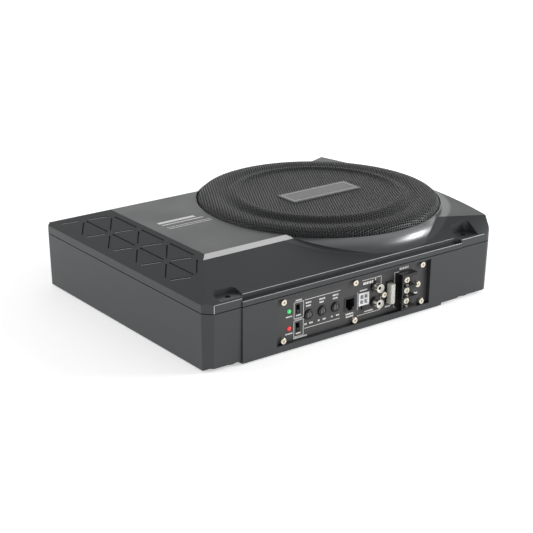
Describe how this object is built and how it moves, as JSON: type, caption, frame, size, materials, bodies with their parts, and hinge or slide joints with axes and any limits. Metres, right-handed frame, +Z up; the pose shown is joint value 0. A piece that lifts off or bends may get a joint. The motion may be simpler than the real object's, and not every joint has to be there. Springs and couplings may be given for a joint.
{
  "type": "powered car subwoofer",
  "caption": "Slim under-seat powered subwoofer: cast two-part case with a domed round grille, a driver inside and a control and terminal panel on its front.",
  "frame": {"origin": "bottom centre of the whole object's box, on the surface its rubber feet stand on", "axes": "+X along the case's length towards its bowed end, the control panel faces -Y, +Z up"},
  "size_m": [0.356, 0.2804, 0.0889],
  "materials": {
    "cast_grey": "dark grey cast metal, fine satin paint",
    "panel_grey": "dark grey powder coat with pale print",
    "mesh_black": "black painted perforated steel",
    "badge_silver": "brushed, plain",
    "black_rubber": "matt",
    "zinc_steel": "zinc plated",
    "black_steel": "black, satin",
    "ferrite": "sintered, matt",
    "copper": "enamelled wire",
    "cone_black": "moulded, matt",
    "tan_cloth": "resin-dipped cloth",
    "black_plastic": "glossy",
    "soft_black_plastic": "matt",
    "white_plastic": "matt",
    "green_lens": "lit green lens",
    "red_lens": "lit red lens",
    "clear_fuse": "translucent plastic",
    "nickel": "nickel plated",
    "board_green": "printed circuit board",
    "can_blue": "sleeved aluminium can"
  },
  "bodies": {
    "case": {"amplifier_board": "board_green", "badge_plate": "badge_silver", "base_tray": "cast_grey", "board_screws": "zinc_steel", "board_standoffs": "nickel", "capacitors": "can_blue", "control_board": "board_green", "control_panel": "panel_grey", "cover_screws": "black_steel", "driver_basket": "black_steel", "driver_gasket": "black_rubber", "driver_screws": "black_steel", "driver_terminal": "soft_black_plastic", "fuse_holder": "black_plastic", "grille": "mesh_black", "grille_seal": "black_rubber", "heat_bar": "cast_grey", "jack_contacts": "nickel", "magnet_top_plate": "zinc_steel", "magnet_yoke": "zinc_steel", "panel_screws": "zinc_steel", "panel_spacers": "nickel", "potentiometers": "soft_black_plastic", "power_led": "green_lens", "power_transformer": "copper", "power_transistors": "soft_black_plastic", "protect_led": "red_lens", "rca_body": "black_plastic", "rca_contacts": "nickel", "rca_insulators": "white_plastic", "rca_shells": "nickel", "remote_jack": "soft_black_plastic", "ring_magnet": "ferrite", "rubber_feet": "black_rubber", "seam_gasket": "black_rubber", "socket_latch": "black_plastic", "socket_pins": "nickel", "speaker_level_socket": "white_plastic", "spider": "tan_cloth", "surround": "black_rubber", "switch_bodies": "soft_black_plastic", "terminal_block": "black_plastic", "top_cover": "cast_grey"},
    "driver_cone": {"cone": "cone_black", "dust_cap": "cone_black", "coil_former": "tan_cloth", "voice_coil": "copper"},
    "low_pass_knob": {"low_pass_dial": "soft_black_plastic"},
    "bass_boost_knob": {"bass_boost_dial": "soft_black_plastic"},
    "input_gain_knob": {"input_gain_dial": "soft_black_plastic"},
    "phase_slider": {"phase_switch_slider": "black_plastic"},
    "auto_on_slider": {"auto_on_switch_slider": "black_plastic"},
    "blade_fuse": {"fuse": "clear_fuse", "fuse_blades": "nickel"},
    "battery_plate": {"battery_clamp": "nickel"},
    "remote_plate": {"remote_clamp": "nickel"},
    "ground_plate": {"ground_clamp": "nickel"},
    "battery_bolt": {"battery_screw": "nickel"},
    "remote_bolt": {"remote_screw": "nickel"},
    "ground_bolt": {"ground_screw": "nickel"}
  },
  "joints": [
    {"name": "cone_travel", "type": "slide", "parent": "case", "child": "driver_cone", "axis": [0, 0, 1], "range_m": [-0.006, 0.006], "stiffness_N_per_m": 3000, "deforming": ["surround", "spider"]},
    {"name": "low_pass_turn", "type": "hinge", "parent": "case", "child": "low_pass_knob", "pos_m": [-0.0655, -0.13125, 0.0286], "axis": [0, -1, 0], "range_deg": [-150, 150]},
    {"name": "bass_boost_turn", "type": "hinge", "parent": "case", "child": "bass_boost_knob", "pos_m": [-0.0501, -0.13125, 0.0286], "axis": [0, -1, 0], "range_deg": [-150, 150]},
    {"name": "input_gain_turn", "type": "hinge", "parent": "case", "child": "input_gain_knob", "pos_m": [-0.0347, -0.13125, 0.0286], "axis": [0, -1, 0], "range_deg": [-150, 150]},
    {"name": "phase_slide", "type": "slide", "parent": "case", "child": "phase_slider", "axis": [0, 0, 1], "range_m": [0, 0.004]},
    {"name": "auto_on_slide", "type": "slide", "parent": "case", "child": "auto_on_slider", "axis": [0, 0, 1], "range_m": [0, 0.004]},
    {"name": "fuse_pull", "type": "slide", "parent": "case", "child": "blade_fuse", "axis": [0, -1, 0], "range_m": [0, 0.02]},
    {"name": "battery_clamp_slide", "type": "slide", "parent": "case", "child": "battery_plate", "axis": [0, -1, 0], "range_m": [0, 0.0028]},
    {"name": "battery_screw_turn", "type": "hinge", "parent": "battery_plate", "child": "battery_bolt", "pos_m": [0.0473, -0.13125, 0.0374], "axis": [0, -1, 0], "range_deg": [0, 1441]},
    {"name": "remote_clamp_slide", "type": "slide", "parent": "case", "child": "remote_plate", "axis": [0, -1, 0], "range_m": [0, 0.0028]},
    {"name": "remote_screw_turn", "type": "hinge", "parent": "remote_plate", "child": "remote_bolt", "pos_m": [0.0473, -0.13125, 0.027], "axis": [0, -1, 0], "range_deg": [0, 1441]},
    {"name": "ground_clamp_slide", "type": "slide", "parent": "case", "child": "ground_plate", "axis": [0, -1, 0], "range_m": [0, 0.0028]},
    {"name": "ground_screw_turn", "type": "hinge", "parent": "ground_plate", "child": "ground_bolt", "pos_m": [0.0473, -0.13125, 0.0166], "axis": [0, -1, 0], "range_deg": [0, 1441]}
  ],
  "couplings": [
    {"joint": "battery_screw_turn", "follows": "battery_clamp_slide", "rad_per_m": 8976},
    {"joint": "remote_screw_turn", "follows": "remote_clamp_slide", "rad_per_m": 8976},
    {"joint": "ground_screw_turn", "follows": "ground_clamp_slide", "rad_per_m": 8976}
  ]
}
